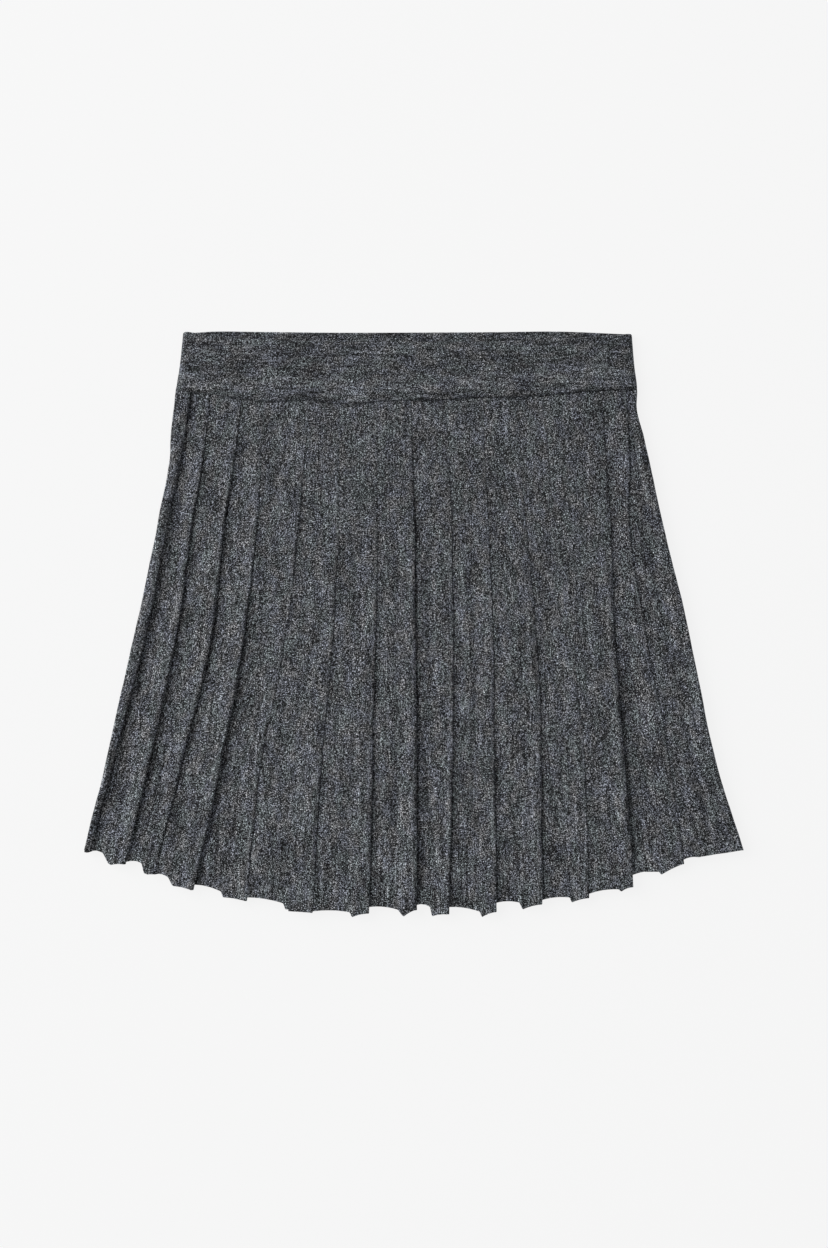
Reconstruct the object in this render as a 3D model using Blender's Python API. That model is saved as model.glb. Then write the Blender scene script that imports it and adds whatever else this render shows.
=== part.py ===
"""Short knife-pleated knit skirt, laid flat on a table with its front up.

Sizes are in millimetres and become metres when a mesh is made. X runs to the right, Y from the hem
towards the waist and Z up from the table, and the origin is under the middle of the skirt. The front
panel lies on the back panel, and the waistband is one flattened ring above both.

Every pleat is pressed over to the right as its own side is looked at: a face runs up over the fold
behind it, turns under at its edge, goes back to the left, and turns again into the next face.
"""
import math
from collections import namedtuple

import bmesh
import bpy
import numpy

MM = 0.001

# The cloth
CLOTH = 1.1  # thickness of the panels' knit
PLY_GAP = 0.3  # air between two layers that lie on each other
SEAM_GAP = 0.3  # parting of two pieces at their seam
PLY = CLOTH + PLY_GAP
PANEL_HEIGHT = 3 * CLOTH + 2 * PLY_GAP
TURN = PLY / 2  # radius of a flat fold, to the middle of the cloth
FRONT_REST_Z = PANEL_HEIGHT + SEAM_GAP  # the front panel's lowest face

# How a pleat is laid
RAMP = 3.0  # width over which a face climbs on the fold under it
INNER_FOLD_INSET = 3.7  # from the ramp's foot to the centre of the hidden fold
EDGE_FOLD_INSET = 2.9  # the same from the side edge, for the pleat beside it
EDGE_TURN = 1.2  # radius of the curl at the side edges
STEP_SHARE_AT_WAIST = 0.3  # where a ramp starts, as a share of the way from fold to fold
LEAST_STEP = 0.6  # from an edge to the next ramp's foot
FOLD_STEPS, INNER_FOLD_STEPS, EDGE_STEPS = 3, 2, 2  # straight parts of each turn

# Heights Y where the folds' places are given, below the waist seam
WAIST_Y, HIP_Y, UPPER_Y, MIDDLE_Y, LOWER_Y = 161.5, 121.5, 76.0, -9.5, -95.5

Fold = namedtuple(
    "Fold", "waist hip upper middle lower hem step valley_y foot_y head_y tip_y lift"
)

# The front's pleats, left to right. waist to hem: X of the pressed edge at the heights above and at
# the hem. step: X at the hem where the ramp starts. valley_y to tip_y: Y of the hem where the face
# comes out from under the pleat before it, at the ramp's foot, at its head and at the pressed edge.
# lift: how far the edge stands up from the layers under it.
FRONT_FOLDS = (
    Fold(-160.5, -167.0, -176.0, -192.5, -213.5, -232.0, -238.0, -163.0, -163.0, -164.5, -164.5, 1.0),
    Fold(-146.5, -152.0, -159.0, -171.0, -189.5, -206.5, -223.0, -164.5, -167.5, -173.0, -173.0, 1.2),
    Fold(-123.5, -127.5, -134.5, -145.5, -165.0, -183.0, -198.0, -171.5, -172.5, -179.5, -182.5, 1.2),
    Fold(-108.0, -109.5, -112.5, -122.0, -137.5, -156.5, -174.5, -182.5, -187.0, -189.0, -191.5, 1.6),
    Fold(-74.0, -78.0, -83.0, -91.5, -109.0, -120.5, -140.0, -188.0, -192.5, -197.0, -199.5, 0.6),
    Fold(-52.5, -53.5, -54.0, -58.0, -65.5, -70.0, -95.0, -197.0, -201.0, -205.5, -207.5, 0.6),
    Fold(-26.0, -26.0, -26.0, -27.5, -29.5, -29.5, -46.5, -207.0, -207.5, -211.0, -208.5, 1.2),
    Fold(0.5, 0.5, 0.5, 1.5, 2.5, 2.0, -12.5, -204.0, -205.5, -210.5, -206.0, 1.6),
    Fold(25.0, 26.0, 27.0, 29.5, 28.0, 27.0, 11.0, -202.5, -203.5, -210.5, -209.0, 0.8),
    Fold(50.0, 51.5, 53.5, 58.5, 58.5, 61.0, 47.0, -204.0, -207.0, -211.0, -207.5, 0.8),
    Fold(73.5, 76.5, 81.0, 89.0, 92.5, 94.0, 75.0, -201.0, -200.5, -205.5, -202.0, 0.8),
    Fold(94.0, 97.5, 102.0, 113.5, 123.0, 126.5, 111.5, -199.0, -197.0, -200.5, -197.5, 0.6),
    Fold(136.5, 139.5, 142.5, 147.5, 154.0, 159.5, 147.0, -194.5, -191.0, -192.5, -189.5, 2.2),
    Fold(150.0, 154.5, 158.0, 168.5, 185.0, 196.5, 175.5, -181.0, -178.0, -180.5, -173.0, 1.0),
    # A soft open crease with no fold under it ends the last face
    Fold(156.8, 162.5, 168.0, 185.0, 201.5, 218.0, 205.5, -170.0, -168.0, -167.5, -166.0, 0.0),
)
CREASE_DEPTH = 1.8
CREASE_WIDTH_TOP, CREASE_WIDTH_HEM = 0.3, 2.6
CREASE_STARTS, CREASE_FULL = 0.12, 0.45  # shares of the length

Edge = namedtuple("Edge", "y left right")

# The side outline, from the hem up over the waistband
OUTLINE = (
    Edge(-163.0, -237.5, 237.5),
    Edge(-95.5, -221.0, 217.0),
    Edge(-9.5, -202.0, 199.0),
    Edge(76.0, -184.0, 178.5),
    Edge(118.0, -176.5, 169.5),
    Edge(136.0, -175.0, 164.5),
    Edge(154.0, -173.0, 161.0),
    Edge(169.5, -171.5, 161.0),
    Edge(186.0, -169.0, 159.0),
    Edge(211.0, -166.5, 157.0),
)

# Height Y of the waist seam across the skirt, as (x, y)
WAIST_SEAM = ((-172.0, 167.5), (-112.0, 161.5), (-50.0, 159.5), (28.0, 161.5), (107.0, 165.5), (161.0, 169.0))

# The panels' view sides, and the rows of the outline where their ends are measured
FRONT, BACK = 1, -1
HEM_EDGE = OUTLINE[0]
SEAM_EDGE = OUTLINE[7]

# The back's pleats lie evenly, with a slight sway, and their hem hides behind the front's
BACK_PLEATS = 15
BACK_FIRST_SHARE = 0.42  # width of the first pleat, in pleats
BACK_SWAY = 0.09  # in pleats
BACK_SWAY_PACE = 2.3
BACK_STEP_SHARE = 0.45
BACK_EDGE_INSET = 0.8  # the back's side edges lie just inside the front's
BACK_TAB = 2.5  # how far a pressed part hangs below the part that is tucked in
BACK_HEM = (
    (-237.5, -159.0),
    (-200.0, -168.5),
    (-150.0, -183.5),
    (-75.0, -196.0),
    (0.0, -199.5),
    (75.0, -196.0),
    (140.0, -182.0),
    (160.0, -172.5),
    (200.0, -163.5),
    (237.5, -159.0),
)

# Shares of the panels' length where a section is built
FRONT_ROWS = (0.0, 0.07, 0.16, 0.27, 0.39, 0.51, 0.63, 0.75, 0.88, 1.0)
BACK_ROWS = (0.0, 0.08, 0.18, 0.33, 0.5, 0.67, 0.84, 1.0)
LIFT_STARTS, LIFT_FULL = 0.05, 0.4

Ring = namedtuple("Ring", "share height wall inset")

# The waistband, from the seam up: share of its length, height of the flattened ring, its wall, and
# how far the rim is drawn in
BAND_RINGS = (
    Ring(0.0, 8.1, 2.5, 0.0),
    Ring(0.1, 8.8, 2.8, 0.0),
    Ring(0.28, 8.7, 2.8, 0.0),
    Ring(0.5, 7.8, 2.6, 0.0),
    Ring(0.75, 7.0, 2.5, 0.0),
    Ring(0.97, 6.4, 2.4, 0.0),
    Ring(1.0, 5.6, 1.7, 0.4),
)
BAND_COLUMNS = 22
BAND_SIDE_STEPS = 4

# Height Y of the waistband's top rim, as (x, y): the front dips and shows the back's inner side
BAND_RIM_FRONT = (
    (-166.5, 209.5),
    (-140.0, 206.5),
    (-90.0, 204.3),
    (-25.0, 203.5),
    (60.0, 203.8),
    (120.0, 206.0),
    (157.0, 208.8),
)
BAND_RIM_BACK = ((-166.5, 210.3), (-120.0, 211.0), (0.0, 210.6), (100.0, 211.0), (157.0, 209.4))

Material = namedtuple("Material", "name color roughness")

FRONT_KNIT = Material("front_knit", (0.077, 0.081, 0.087), 0.94)
BACK_KNIT = Material("back_knit", (0.072, 0.076, 0.082), 0.94)
BAND_KNIT = Material("band_knit", (0.070, 0.073, 0.078), 0.95)


def clear_objects():
    """Empties the scene."""
    for item in list(bpy.data.objects):
        bpy.data.objects.remove(item)


def smooth(knots, place):
    """Value at a place on the soft curve through knots, which are (place, value) in rising places."""
    places = [knot[0] for knot in knots]
    values = [knot[1] for knot in knots]
    slopes = [
        (values[i + 1] - values[i]) / (places[i + 1] - places[i]) for i in range(len(knots) - 1)
    ]
    tangents = [slopes[0]]
    for before, after in zip(slopes, slopes[1:]):
        tangents.append((before + after) / 2)
    tangents.append(slopes[-1])
    if place <= places[0]:
        return values[0] + tangents[0] * (place - places[0])
    if place >= places[-1]:
        return values[-1] + tangents[-1] * (place - places[-1])
    i = max(k for k in range(len(places) - 1) if places[k] <= place)
    width = places[i + 1] - places[i]
    u = (place - places[i]) / width
    start = values[i] * (1 + 2 * u) + tangents[i] * width * u
    end = values[i + 1] * (3 - 2 * u) - tangents[i + 1] * width * (1 - u)
    return start * (1 - u) ** 2 + end * u**2


def ease(start, end, share):
    """Rises softly from 0 at start to 1 at end."""
    u = min(max((share - start) / (end - start), 0.0), 1.0)
    return u * u * (3 - 2 * u)


def fold_line(fold):
    """The pressed edge as (y, x), from the hem up."""
    return (
        (fold.tip_y, fold.hem),
        (LOWER_Y, fold.lower),
        (MIDDLE_Y, fold.middle),
        (UPPER_Y, fold.upper),
        (HIP_Y, fold.hip),
        (WAIST_Y, fold.waist),
    )


def edge_line(side, hand):
    """The panel's left or right edge as (y, x), from the hem up, as its own side is looked at."""
    if side == FRONT:
        return [(edge.y, getattr(edge, hand)) for edge in OUTLINE]
    if hand == "left":
        return [(edge.y, BACK_EDGE_INSET - edge.right) for edge in OUTLINE]
    return [(edge.y, -edge.left - BACK_EDGE_INSET) for edge in OUTLINE]


def back_folds():
    """The back's pleats in the back's own view, spread evenly, and the end of its last face."""
    left, right = edge_line(BACK, "left"), edge_line(BACK, "right")
    levels = (WAIST_Y, HIP_Y, UPPER_Y, MIDDLE_Y, LOWER_Y)
    count = BACK_PLEATS + BACK_FIRST_SHARE
    folds = []
    for i in range(BACK_PLEATS + 1):
        sway = BACK_SWAY * math.sin(BACK_SWAY_PACE * i) if i < BACK_PLEATS else 0.0
        share = (i + BACK_FIRST_SHARE + sway) / count
        step_share = max(share - (1 - BACK_STEP_SHARE) / count, 0.0)
        xs = [smooth(left, y) + share * (smooth(right, y) - smooth(left, y)) for y in levels]
        hem_left, hem_right = left[0][1], right[0][1]
        hem_x = hem_left + share * (hem_right - hem_left)
        step_x = hem_left + step_share * (hem_right - hem_left)
        tuck_y = smooth(BACK_HEM, -step_x)
        tip_y = smooth(BACK_HEM, -hem_x) - BACK_TAB
        folds.append(Fold(*xs, hem_x, step_x, tuck_y, tuck_y, tuck_y - BACK_TAB, tip_y, 0.0))
    return folds


def turn(centre, radius, start, end, steps):
    """Points (x, z) on an arc between two angles in degrees."""
    points = []
    for k in range(steps + 1):
        angle = math.radians(start + (end - start) * k / steps)
        points.append((centre[0] + radius * math.cos(angle), centre[1] + radius * math.sin(angle)))
    return points


def section(folds, side, share):
    """The middle of the cloth across one panel, at a share of its length, as points (x, y, z).

    z counts from the panel's inner face, and grows towards the side that is looked at. The last of
    the folds is the end of the last face: a crease on the front and the side edge on the back.
    """
    low = CLOTH / 2
    high = low + 2 * PLY
    lift_share = ease(LIFT_STARTS, LIFT_FULL, share)
    left, right = edge_line(side, "left"), edge_line(side, "right")
    points = []

    def add(place, hem_y, offset, z):
        """A point beside a line, whose place is its X at a height."""
        top = smooth(WAIST_SEAM, side * place(WAIST_Y)) - SEAM_GAP
        y = top + share * (hem_y - top)
        points.append((place(y) + offset, y, z))

    def line_place(line):
        return lambda y: smooth(line, y)

    def step_place(before, after, hem_part):
        """The foot of a ramp: part of the way from one pressed edge to the next."""
        part = STEP_SHARE_AT_WAIST + share * (hem_part - STEP_SHARE_AT_WAIST)

        def place(y):
            start = smooth(before, y)
            return start + max(part * (smooth(after, y) - start), LEAST_STEP)

        return place

    left_place = line_place(left)
    curl_x = CLOTH / 2 + EDGE_TURN
    curl_z = high - EDGE_TURN
    add(left_place, HEM_EDGE.y, CLOTH / 2, 0.0)
    for x, z in turn((curl_x, curl_z), EDGE_TURN, 180, 90, EDGE_STEPS):
        add(left_place, HEM_EDGE.y, x, z)

    inner_place = left_place
    inset = EDGE_FOLD_INSET
    for fold, following in zip(folds, folds[1:]):
        lift = fold.lift * lift_share
        under = high - PLY + lift / 2
        radius = (high + lift - under) / 2
        centre = (-CLOTH / 2 - radius, under + radius)
        for x, z in turn(centre, radius, 90, -90, FOLD_STEPS):
            add(line_place(fold_line(fold)), fold.tip_y, x, z)
        for x, z in turn((inset, low + TURN), TURN, 90, 270, INNER_FOLD_STEPS):
            add(inner_place, following.valley_y, x, z)
        hem_part = (following.step - fold.hem) / (following.hem - fold.hem)
        inner_place = step_place(fold_line(fold), fold_line(following), hem_part)
        inset = INNER_FOLD_INSET
        add(inner_place, following.foot_y, 0.0, low)
        add(inner_place, following.head_y, RAMP, high)

    if side == FRONT:
        depth = CREASE_DEPTH * ease(CREASE_STARTS, CREASE_FULL, share)
        half = CREASE_WIDTH_TOP + share * (CREASE_WIDTH_HEM - CREASE_WIDTH_TOP)
        crease_place = line_place(fold_line(folds[-1]))
        for offset, z in ((-half, high), (0.0, high - depth), (half, high)):
            add(crease_place, folds[-1].tip_y, offset, z)
    right_place = line_place(right)
    for x, z in turn((-curl_x, curl_z), EDGE_TURN, 90, 0, EDGE_STEPS):
        add(right_place, HEM_EDGE.y, x, z)
    add(right_place, HEM_EDGE.y, -CLOTH / 2, 0.0)
    return points


def wall_sides(points):
    """The two faces of the cloth beside its middle line, each as points (x, y, z)."""
    flat = numpy.array([(x, z) for x, y, z in points])
    runs = numpy.diff(flat, axis=0)
    runs /= numpy.linalg.norm(runs, axis=1)[:, None]
    normals = numpy.stack((-runs[:, 1], runs[:, 0]), axis=1)
    before = numpy.vstack((normals[:1], normals))
    after = numpy.vstack((normals, normals[-1:]))
    corner = before + after
    corner /= (1 + (before * after).sum(axis=1))[:, None]
    sides = []
    for direction in (1, -1):
        moved = flat + direction * CLOTH / 2 * corner
        sides.append([(x, point[1], z) for (x, z), point in zip(moved, points)])
    return sides


def make_material(material):
    """A plain knit finish."""
    made = bpy.data.materials.new(material.name)
    made.use_nodes = True
    shader = made.node_tree.nodes["Principled BSDF"]
    shader.inputs["Base Color"].default_value = (*material.color, 1.0)
    shader.inputs["Roughness"].default_value = material.roughness
    shader.inputs["Metallic"].default_value = 0.0
    return made


def make_object(name, points, faces, material):
    """A closed solid from points in millimetres."""
    mesh = bpy.data.meshes.new(name)
    mesh.from_pydata([[value * MM for value in point] for point in points], [], faces)
    shape = bmesh.new()
    shape.from_mesh(mesh)
    bmesh.ops.triangulate(shape, faces=shape.faces)
    bmesh.ops.recalc_face_normals(shape, faces=shape.faces)
    shape.to_mesh(mesh)
    shape.free()
    mesh.shade_smooth()
    mesh.set_sharp_from_angle(angle=math.radians(50))
    mesh.materials.append(make_material(material))
    bpy.context.scene.collection.objects.link(bpy.data.objects.new(name, mesh))


def wall_faces(rows, columns, ring):
    """Faces of a wall whose points run by row, then by side of the cloth, then by column."""

    def index(row, face, column):
        return (row * 2 + face) * columns + column % columns

    def quad(first, second, third, fourth):
        faces.append((index(*first), index(*second), index(*third), index(*fourth)))

    faces = []
    spans = columns if ring else columns - 1
    for column in range(spans):
        for row in range(rows - 1):
            for face in (0, 1):
                quad(
                    (row, face, column),
                    (row, face, column + 1),
                    (row + 1, face, column + 1),
                    (row + 1, face, column),
                )
        for row in (0, rows - 1):
            quad((row, 0, column), (row, 0, column + 1), (row, 1, column + 1), (row, 1, column))
    if not ring:
        for row in range(rows - 1):
            for column in (0, columns - 1):
                quad((row, 0, column), (row, 1, column), (row + 1, 1, column), (row + 1, 0, column))
    return faces


def make_panel(name, folds, side, rows, material):
    """A pleated panel: a wall through its sections, closed at the waist, the hem and the sides."""
    points = []
    for share in rows:
        for face in wall_sides(section(folds, side, share)):
            if side == FRONT:
                points += [(x, y, FRONT_REST_Z + z) for x, y, z in face]
            else:
                points += [(-x, y, PANEL_HEIGHT - z) for x, y, z in face]
    columns = len(points) // (2 * len(rows))
    make_object(name, points, wall_faces(len(rows), columns, False), material)


def band_loop(share_up, inset, height, bottom):
    """One closed loop of the waistband's ring: the front from left to right, then the back."""
    left, right = edge_line(FRONT, "left"), edge_line(FRONT, "right")
    radius = height / 2
    reach = inset + radius
    loop = []

    def add(share, offset, z, rim):
        seam_x = SEAM_EDGE.left + share * (SEAM_EDGE.right - SEAM_EDGE.left)
        seam_y = smooth(WAIST_SEAM, seam_x)
        y = seam_y + share_up * (smooth(rim, seam_x) - seam_y)
        x = smooth(left, y) + share * (smooth(right, y) - smooth(left, y))
        loop.append((x + offset, y, z))

    def add_side(share, start, rim_before, rim_after):
        """The round side at the right or left end, from angle start on."""
        for k in range(1, BAND_SIDE_STEPS):
            angle = start - math.pi * k / BAND_SIDE_STEPS
            x = reach * (1 - 2 * share) + radius * math.cos(angle)
            z = bottom + radius * (1 + math.sin(angle))
            add(share, x, z, rim_before if 2 * k <= BAND_SIDE_STEPS else rim_after)

    shares = [k / BAND_COLUMNS for k in range(BAND_COLUMNS + 1)]
    for share in shares:
        add(share, reach * (1 - 2 * share), bottom + height, BAND_RIM_FRONT)
    add_side(1.0, math.pi / 2, BAND_RIM_FRONT, BAND_RIM_BACK)
    for share in reversed(shares):
        add(share, reach * (1 - 2 * share), bottom, BAND_RIM_BACK)
    add_side(0.0, -math.pi / 2, BAND_RIM_BACK, BAND_RIM_FRONT)
    return loop


def make_band(name, material):
    """The waistband: a flattened ring of doubled knit, open at the top and at the seam."""
    points = []
    for ring in BAND_RINGS:
        cavity = ring.height - 2 * ring.wall
        points += band_loop(ring.share, ring.inset, ring.height, ring.inset)
        points += band_loop(ring.share, ring.inset + ring.wall, cavity, ring.inset + ring.wall)
    columns = len(points) // (2 * len(BAND_RINGS))
    make_object(name, points, wall_faces(len(BAND_RINGS), columns, True), material)


def main():
    clear_objects()
    make_panel("front_panel", FRONT_FOLDS, FRONT, FRONT_ROWS, FRONT_KNIT)
    make_panel("back_panel", back_folds(), BACK, BACK_ROWS, BACK_KNIT)
    make_band("waistband", BAND_KNIT)


main()
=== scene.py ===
"""A short, knife-pleated skirt of heather knit, laid flat with its front up.

Sizes are in millimetres and become metres when a mesh is made. X runs to the right, Y from the hem
towards the waist and Z up from the table. Every piece is one closed wall of cloth, made from grids of
points. On a panel, a column of points runs from the waist to the hem and a row runs across the
pleats. On the waistband, a column runs from the rim to the seam and a row runs round the ring.

A panel is laid out as its own side is looked at. Each pleat is a face that climbs over the fold
hidden behind it, a pressed edge on its right, a return to the left under the face, a hidden fold,
and the cloth that runs back to the right and comes out as the next face.
"""
import math
from collections import namedtuple

import bpy
import numpy as np
from bpy.props import FloatProperty, FloatVectorProperty, PointerProperty
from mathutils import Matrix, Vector, noise


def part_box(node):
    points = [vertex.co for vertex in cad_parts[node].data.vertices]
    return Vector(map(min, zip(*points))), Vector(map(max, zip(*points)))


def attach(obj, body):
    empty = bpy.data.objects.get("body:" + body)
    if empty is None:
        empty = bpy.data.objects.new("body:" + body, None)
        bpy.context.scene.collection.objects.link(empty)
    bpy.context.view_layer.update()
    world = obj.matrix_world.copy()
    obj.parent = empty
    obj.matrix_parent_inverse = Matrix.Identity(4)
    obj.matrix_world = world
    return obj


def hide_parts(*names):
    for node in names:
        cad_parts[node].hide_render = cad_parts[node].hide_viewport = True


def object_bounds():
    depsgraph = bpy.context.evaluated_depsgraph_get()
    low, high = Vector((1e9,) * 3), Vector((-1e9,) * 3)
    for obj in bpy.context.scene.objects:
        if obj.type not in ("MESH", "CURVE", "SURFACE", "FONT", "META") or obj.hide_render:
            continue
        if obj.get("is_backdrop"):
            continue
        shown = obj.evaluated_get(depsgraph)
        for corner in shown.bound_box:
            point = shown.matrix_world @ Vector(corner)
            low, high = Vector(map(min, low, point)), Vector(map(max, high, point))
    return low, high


bl_info = {
    "name": "Pleated Knit Skirt",
    "version": (1, 0, 0),
    "blender": (4, 5, 0),
    "location": "3D View > Sidebar > Skirt",
    "description": "Builds the cloth of a knife-pleated knit skirt and the studio it lies in",
    "category": "Object",
}

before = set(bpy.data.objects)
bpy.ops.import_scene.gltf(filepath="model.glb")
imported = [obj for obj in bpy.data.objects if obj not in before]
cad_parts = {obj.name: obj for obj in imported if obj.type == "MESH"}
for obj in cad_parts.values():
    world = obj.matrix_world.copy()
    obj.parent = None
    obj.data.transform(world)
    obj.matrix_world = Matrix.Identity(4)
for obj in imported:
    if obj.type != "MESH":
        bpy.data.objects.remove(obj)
CAD_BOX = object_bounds()

MM = 0.001
FRONT, BACK = 1, -1
# The wear map makes the knit paler where pressed edges are rubbed, and also holds painted highlights on
# crests and on the waistband's bulge
CLOTH_RUN, CLOTH_WEAR_AND_HIGHLIGHT = "cloth_run", "cloth_wear"  # the two coordinate maps of every piece

# Places that the frame gives
FRONT_REST_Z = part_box("front_panel")[0].z / MM
BACK_TOP_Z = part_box("back_panel")[1].z / MM

# The cloth's layers: how full they are at the seam, and what they gain down the length, each gain as
# (gain, where it starts, where it ends) in shares of the length
SEAM_FULLNESS = 0.45
FULLNESS_GAINS = ((0.3, 0.0, 0.012), (0.25, 0.05, 0.6))

# Where a pleat's parts lie
FOLD_PARTING = 1.4  # from the head of a ramp to the fold hidden behind it
FOLD_SHARE = 0.68  # least way across the face to that fold
STEP_SHARE_AT_WAIST = 0.3  # where a ramp starts, as a share of the way from fold to fold
LEAST_STEP = 0.6  # from a pressed edge to the next ramp's foot
RAMP_SHARE = 0.5  # of the face, for a ramp away from the hem
HEM_RAMP_START = 0.8  # share of the length where a ramp starts to shorten to its own at the hem
SHUT = 0.5  # how far a flush edge closes down on the cloth beside it, in layers

# How a face climbs from the edge before it to its own
FLUSH = 1.9  # layers that the cloth beside a flush edge lies up
NARROW, WIDE = 12.0, 24.0  # widths up to which a face counts as narrow, and from which as wide
NARROW_START = 0.2  # share of the way where a narrow face starts its soft climb
WIDE_CURVE = 1.9  # power of the way by which a wide face climbs late and steep
ROLL_SHARE = 0.7  # of the face, where it lifts towards its pressed edge
CREST_HIGHLIGHT_START, CREST_HIGHLIGHT = 0.55, 0.6  # painted highlight: where a face starts to be painted paler towards its crest, and how much paler at its crest

# The side edges, and the roll beside the left one: how much of its lift it gains up to its top, where
# across the face that is, how much it loses again, and the depth of the nick in the hem beside it
EDGE_TURN = 1.2
SIDE_RISE, SIDE_TOP, SIDE_FALL = 0.85, 0.6, 0.3
SIDE_NICK = 1.1

# Columns of a ramp, and shares of the way for the columns of the upright part of the side curl, of the
# return under a face, and of the cloth that runs back under it
RAMP_COLUMNS = 6
SIDE_WALL = (0.0, 0.35, 0.7)
RETURN_PARTS = (0.15, 0.4, 0.7)
RUN_BACK_PARTS = (0.3, 0.65, 0.92)

Weave = namedtuple("Weave", "rows spacing turn_steps")

# How finely a panel is laid out: rows down it, distance of its columns and steps round a fold
FRONT_WEAVE = Weave(80, 2.7, 7)
BACK_WEAVE = Weave(76, 3.4, 7)

# A wall's corners: how far a sharp one may reach out, and how round the hem is, where 1 is a half circle
MITRE_LIMIT = 0.5
HEM_ROUNDNESS = 0.8

# Distances from the seam and from the hem of the panels' closest rows, and of the waistband's. The
# panels are tucked up into the waistband above the seam.
SEAM_ROWS = (-2.8, -1.5, -0.6, 0.0, 0.5, 1.1, 2.0, 3.3)
HEM_ROWS = (3.0, 1.7, 0.9, 0.45, 0.18, 0.05, 0.0)
BAND_END_ROWS = (0.0, 0.1, 0.35, 0.75, 1.3, 2.1)

# Heights Y where the folds' places are given, below the waist seam
WAIST_Y, HIP_Y, UPPER_Y, MIDDLE_Y, LOWER_Y = 161.5, 121.5, 76.0, -9.5, -95.5

Fold = namedtuple("Fold", "waist hip upper middle lower hem step head valley_y foot_y head_y tip_y")

# The front's pleats, left to right. waist to hem: X of the pressed edge at the heights above and at
# the hem. step and head: X at the hem where the ramp starts and ends. valley_y to tip_y: Y of the hem
# where the face comes out from under the pleat before it, at the ramp's foot, at its head and at the
# pressed edge.
FRONT_FOLDS = (
    Fold(-161.5, -168.0, -177.0, -193.5, -215.5, -234.0, -238.0, -237.0, -163.0, -163.0, -164.5, -164.5),
    Fold(-146.5, -152.0, -159.0, -171.0, -189.5, -208.0, -227.0, -216.5, -164.5, -164.2, -173.6, -173.0),
    Fold(-124.0, -129.0, -136.0, -145.5, -166.0, -186.5, -198.5, -193.0, -171.5, -172.0, -180.0, -180.0),
    Fold(-108.0, -109.5, -113.0, -122.5, -138.0, -158.5, -179.0, -171.5, -180.5, -181.5, -188.8, -191.5),
    Fold(-74.0, -78.0, -83.0, -91.8, -109.0, -120.5, -140.0, -137.0, -188.0, -192.5, -197.0, -199.5),
    Fold(-52.5, -53.5, -54.0, -58.0, -66.0, -73.0, -95.0, -92.0, -197.0, -201.0, -205.5, -208.0),
    Fold(-26.0, -26.0, -26.0, -27.5, -30.0, -32.0, -46.5, -43.7, -207.0, -207.5, -211.0, -208.5),
    Fold(-1.5, -1.0, 0.5, 1.0, 1.8, 2.0, -12.5, -7.5, -204.0, -205.5, -210.5, -206.0),
    Fold(25.0, 26.0, 27.0, 28.5, 27.8, 25.5, 11.0, 13.2, -202.5, -203.5, -210.5, -209.0),
    Fold(50.0, 51.5, 53.5, 57.2, 58.2, 59.5, 47.0, 49.3, -204.0, -207.0, -211.0, -207.5),
    Fold(73.5, 76.5, 80.5, 88.5, 91.8, 92.0, 75.0, 78.5, -201.0, -200.5, -205.5, -202.0),
    Fold(94.0, 97.5, 102.0, 113.5, 123.0, 126.5, 111.5, 113.8, -199.0, -197.0, -200.5, -197.5),
    Fold(136.0, 138.8, 141.5, 144.3, 151.3, 158.0, 147.0, 149.5, -194.5, -191.0, -192.5, -189.5),
    Fold(153.5, 155.5, 155.0, 167.3, 183.8, 195.0, 175.5, 178.3, -181.0, -178.0, -180.5, -173.0),
    # A soft open crease with no fold under it lies in the last face
    Fold(156.8, 162.5, 168.0, 185.0, 201.5, 218.0, 205.5, 208.5, -170.0, -168.0, -167.5, -166.0),
)
OPEN_CREASE_DEPTH, OPEN_CREASE_WIDTH = 1.6, 3.0
OPEN_CREASE_SPAN = (0.1, 0.5)  # shares of the length where it starts and has its full depth

Stand = namedtuple("Stand", "waist hip upper middle lower hem")

# How far each pressed edge of the front stands out at the same heights, from 0 where it is flush with
# the cloth beside it to 1 where it is raised over a deep hollow
FRONT_STANDS = (
    Stand(0.9, 1.0, 1.0, 1.0, 1.0, 1.0),
    Stand(0.2, 0.5, 0.65, 0.8, 0.9, 0.9),
    Stand(0.1, 0.5, 0.75, 0.8, 0.6, 0.3),
    Stand(0.0, 0.1, 0.4, 0.85, 1.0, 1.0),
    Stand(0.0, 0.25, 0.45, 0.15, 0.3, 0.35),
    Stand(0.0, 0.1, 0.2, 0.35, 0.4, 0.3),
    Stand(0.0, 0.05, 0.25, 0.45, 0.6, 0.65),
    Stand(0.1, 0.3, 0.6, 0.7, 0.85, 0.9),
    Stand(0.0, 0.1, 0.35, 0.4, 0.5, 0.8),
    Stand(0.05, 0.2, 0.35, 0.3, 0.45, 0.6),
    Stand(0.05, 0.1, 0.25, 0.4, 0.45, 0.8),
    Stand(0.0, 0.0, 0.0, 0.0, 0.15, 0.3),
    Stand(0.1, 0.3, 0.35, 0.75, 1.0, 1.0),
    Stand(0.2, 0.5, 0.35, 0.2, 0.25, 0.2),
)
BACK_STAND = Stand(0.1, 0.3, 0.4, 0.45, 0.5, 0.5)

Edge = namedtuple("Edge", "y left right")

# The side outline, from the hem up over the waistband
OUTLINE = (
    Edge(-163.0, -237.5, 237.5),
    Edge(-95.5, -221.0, 217.0),
    Edge(-9.5, -202.0, 199.0),
    Edge(76.0, -184.0, 178.5),
    Edge(118.0, -176.5, 169.5),
    Edge(138.0, -175.0, 165.0),
    Edge(154.0, -173.0, 161.0),
    Edge(169.5, -171.5, 161.0),
    Edge(186.0, -169.0, 159.0),
    Edge(211.0, -166.5, 157.0),
)
HEM_EDGE, SEAM_EDGE = OUTLINE[0], OUTLINE[7]

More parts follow.
